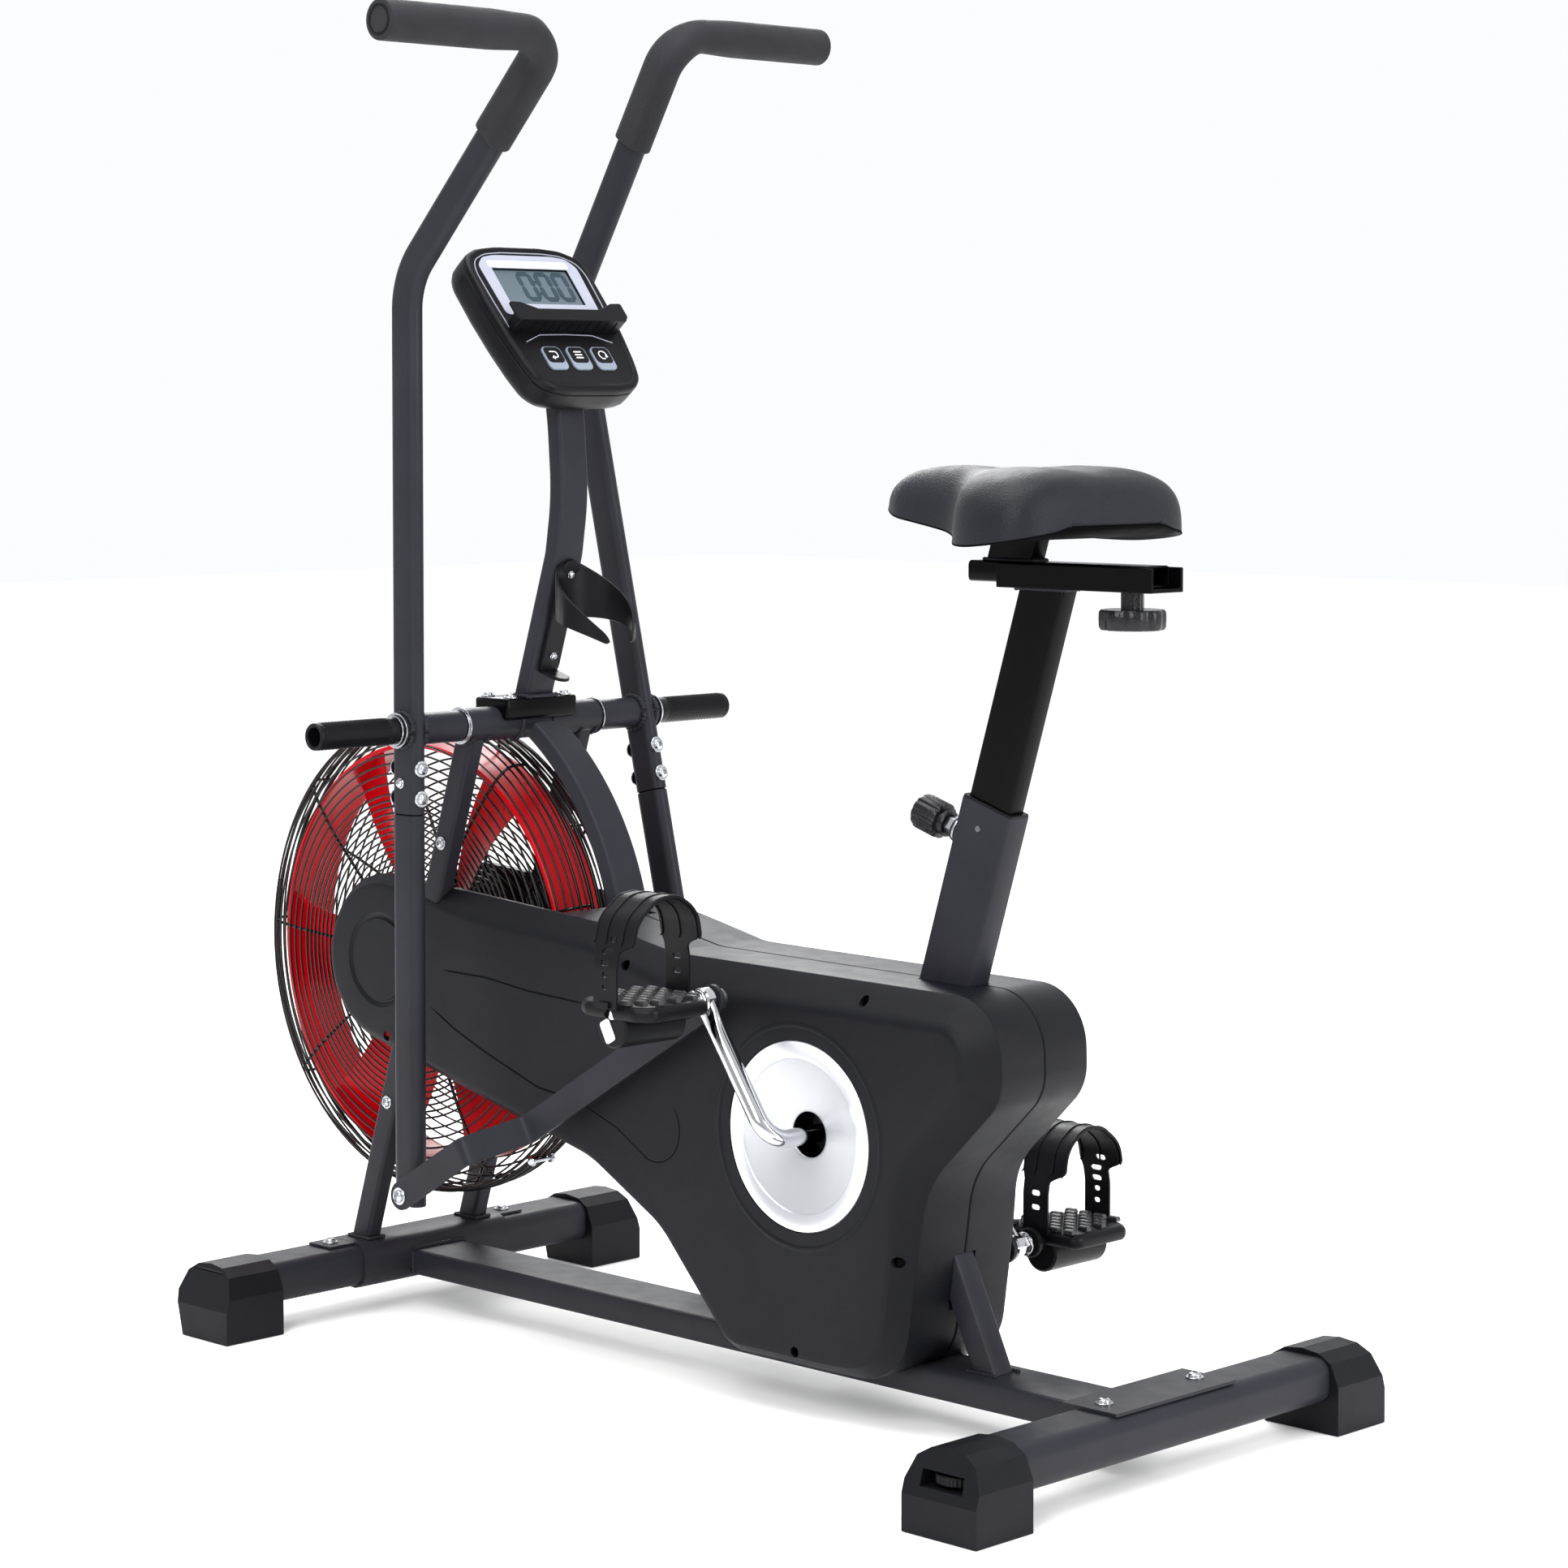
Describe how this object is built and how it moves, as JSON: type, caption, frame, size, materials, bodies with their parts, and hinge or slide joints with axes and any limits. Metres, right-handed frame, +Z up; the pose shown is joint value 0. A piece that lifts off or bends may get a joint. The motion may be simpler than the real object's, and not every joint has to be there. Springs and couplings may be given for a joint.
{
  "type": "air bike",
  "caption": "Fan-resistance exercise bike with swinging handlebar levers linked to the pedals, a caged fan, adjustable saddle and small console.",
  "frame": {"origin": "centre of the bounding box in plan, on the floor under the feet", "axes": "+X towards the rear stabiliser and saddle, +Y towards the rider's right hand, +Z up; the rider faces -X, towards the fan"},
  "size_m": [1.232, 0.73, 1.3186],
  "materials": {
    "powder_coat": "satin black powder coat",
    "gloss_coat": "glossy black paint",
    "foot_plastic": "grained black plastic",
    "black_plastic": "moulded black plastic",
    "housing_plastic": "fine-grained dark grey plastic",
    "silver_plastic": "silver-painted plastic",
    "guard_wire": "glossy black wire",
    "fan_red": "glossy red plastic",
    "chrome": "polished",
    "steel": "machined, oiled",
    "foam": "closed-cell foam",
    "display_glass": "clear window over a grey-green display",
    "saddle_cover": "matte synthetic leather"
  },
  "bodies": {
    "frame": {"main_beam": "powder_coat", "front_stabiliser_tube": "powder_coat", "rear_stabiliser_tube": "powder_coat", "front_cross_sleeve": "powder_coat", "seat_tube": "powder_coat", "arch_tube": "powder_coat", "pivot_cross_tube": "powder_coat", "left_fan_strut": "powder_coat", "right_fan_strut": "powder_coat", "console_post": "powder_coat", "post_bracket": "gloss_coat", "front_left_foot": "foot_plastic", "front_right_foot": "foot_plastic", "rear_left_foot": "foot_plastic", "rear_right_foot": "foot_plastic", "left_foot_peg": "black_plastic", "right_foot_peg": "black_plastic", "bottle_holder": "black_plastic", "console_back": "black_plastic", "console_front": "black_plastic", "phone_rest": "black_plastic", "left_housing": "housing_plastic", "right_housing": "housing_plastic", "left_crank_cover": "silver_plastic", "right_crank_cover": "silver_plastic", "left_fan_guard": "guard_wire", "right_fan_guard": "guard_wire", "pivot_axle": "steel", "left_bearing_cup": "steel", "right_bearing_cup": "steel", "drive_chain": "steel", "fan_axle": "steel", "display_window": "display_glass"},
    "left_lever": {"left_lever_upper": "powder_coat", "left_lever_lower": "powder_coat", "left_grip": "foam"},
    "right_lever": {"right_lever_upper": "powder_coat", "right_lever_lower": "powder_coat", "right_grip": "foam"},
    "left_link": {"left_link": "powder_coat"},
    "right_link": {"right_link": "powder_coat"},
    "crank": {"crank": "chrome", "chainring": "steel"},
    "left_pedal": {"left_pedal": "black_plastic", "left_pedal_strap": "black_plastic"},
    "right_pedal": {"right_pedal": "black_plastic", "right_pedal_strap": "black_plastic"},
    "fan": {"fan_wheel": "fan_red", "fan_sprocket": "steel"},
    "seat_column": {"seat_post": "gloss_coat", "slide_rail": "gloss_coat"},
    "saddle_carriage": {"saddle_slider": "gloss_coat", "saddle": "saddle_cover"},
    "slide_knob": {"slide_knob": "black_plastic"},
    "seat_height_knob": {"seat_height_knob": "black_plastic"},
    "left_button": {"left_button": "black_plastic"},
    "middle_button": {"middle_button": "black_plastic"},
    "right_button": {"right_button": "black_plastic"},
    "rear_left_levelling_wheel": {"rear_left_levelling_wheel": "black_plastic"},
    "rear_right_levelling_wheel": {"rear_right_levelling_wheel": "black_plastic"}
  },
  "joints": [
    {"name": "crank_turn", "type": "hinge", "parent": "frame", "child": "crank", "pos_m": [0.223, 0, 0.259], "axis": [0, 1, 0], "continuous": true},
    {"name": "fan_turn", "type": "hinge", "parent": "frame", "child": "fan", "pos_m": [-0.369, 0, 0.362], "axis": [0, 1, 0], "continuous": true},
    {"name": "left_pedal_turn", "type": "hinge", "parent": "crank", "child": "left_pedal", "pos_m": [0.13926, -0.12, 0.3786], "axis": [0, 1, 0], "continuous": true},
    {"name": "right_pedal_turn", "type": "hinge", "parent": "crank", "child": "right_pedal", "pos_m": [0.30674, 0.12, 0.1394], "axis": [0, 1, 0], "continuous": true},
    {"name": "left_lever_swing", "type": "hinge", "parent": "frame", "child": "left_lever", "pos_m": [-0.2354, 0, 0.6083], "axis": [0, -1, 0], "range_deg": [-9.4, 22.9]},
    {"name": "right_lever_swing", "type": "hinge", "parent": "frame", "child": "right_lever", "pos_m": [-0.2354, 0, 0.6083], "axis": [0, -1, 0], "range_deg": [-22.9, 9.4]},
    {"name": "left_link_swing", "type": "hinge", "parent": "left_lever", "child": "left_link", "pos_m": [-0.2354, 0, 0.1517], "axis": [0, -1, 0], "range_deg": [-22.9, 9.4]},
    {"name": "right_link_swing", "type": "hinge", "parent": "right_lever", "child": "right_link", "pos_m": [-0.13058, 0, 0.16389], "axis": [0, -1, 0], "range_deg": [-9.4, 22.9]},
    {"name": "seat_height", "type": "slide", "parent": "frame", "child": "seat_column", "axis": [0.2957, 0, 0.9553], "range_m": [-0.1, 0.05]},
    {"name": "saddle_fore_aft", "type": "slide", "parent": "seat_column", "child": "saddle_carriage", "axis": [1, 0, 0], "range_m": [-0.03, 0.03]},
    {"name": "slide_knob_turn", "type": "hinge", "parent": "seat_column", "child": "slide_knob", "pos_m": [0.5456, 0, 0.7645], "axis": [0, 0, 1], "range_deg": [-180, 180]},
    {"name": "seat_pin_pull", "type": "slide", "parent": "frame", "child": "seat_height_knob", "axis": [-0.9553, 0, 0.2957], "range_m": [0, 0.01], "stiffness_N_per_m": 1500, "springref_m": -0.004},
    {"name": "left_button_press", "type": "slide", "parent": "frame", "child": "left_button", "axis": [-0.7749, 0, -0.6321], "range_m": [0, 0.001], "stiffness_N_per_m": 800, "springref_m": -0.0005},
    {"name": "middle_button_press", "type": "slide", "parent": "frame", "child": "middle_button", "axis": [-0.7749, 0, -0.6321], "range_m": [0, 0.001], "stiffness_N_per_m": 800, "springref_m": -0.0005},
    {"name": "right_button_press", "type": "slide", "parent": "frame", "child": "right_button", "axis": [-0.7749, 0, -0.6321], "range_m": [0, 0.001], "stiffness_N_per_m": 800, "springref_m": -0.0005},
    {"name": "rear_left_levelling_turn", "type": "hinge", "parent": "frame", "child": "rear_left_levelling_wheel", "pos_m": [0.5748, -0.2515, 0.0475], "axis": [0, 0, 1], "range_deg": [-180, 180]},
    {"name": "rear_right_levelling_turn", "type": "hinge", "parent": "frame", "child": "rear_right_levelling_wheel", "pos_m": [0.5748, 0.2515, 0.0475], "axis": [0, 0, 1], "range_deg": [-180, 180]}
  ],
  "couplings": [
    {"joint": "fan_turn", "follows": "crank_turn", "ratio": 3.25},
    {"joint": "right_lever_swing", "follows": "left_lever_swing", "ratio": -1},
    {"joint": "left_link_swing", "follows": "left_lever_swing", "ratio": -1},
    {"joint": "right_link_swing", "follows": "left_lever_swing", "ratio": 1}
  ]
}
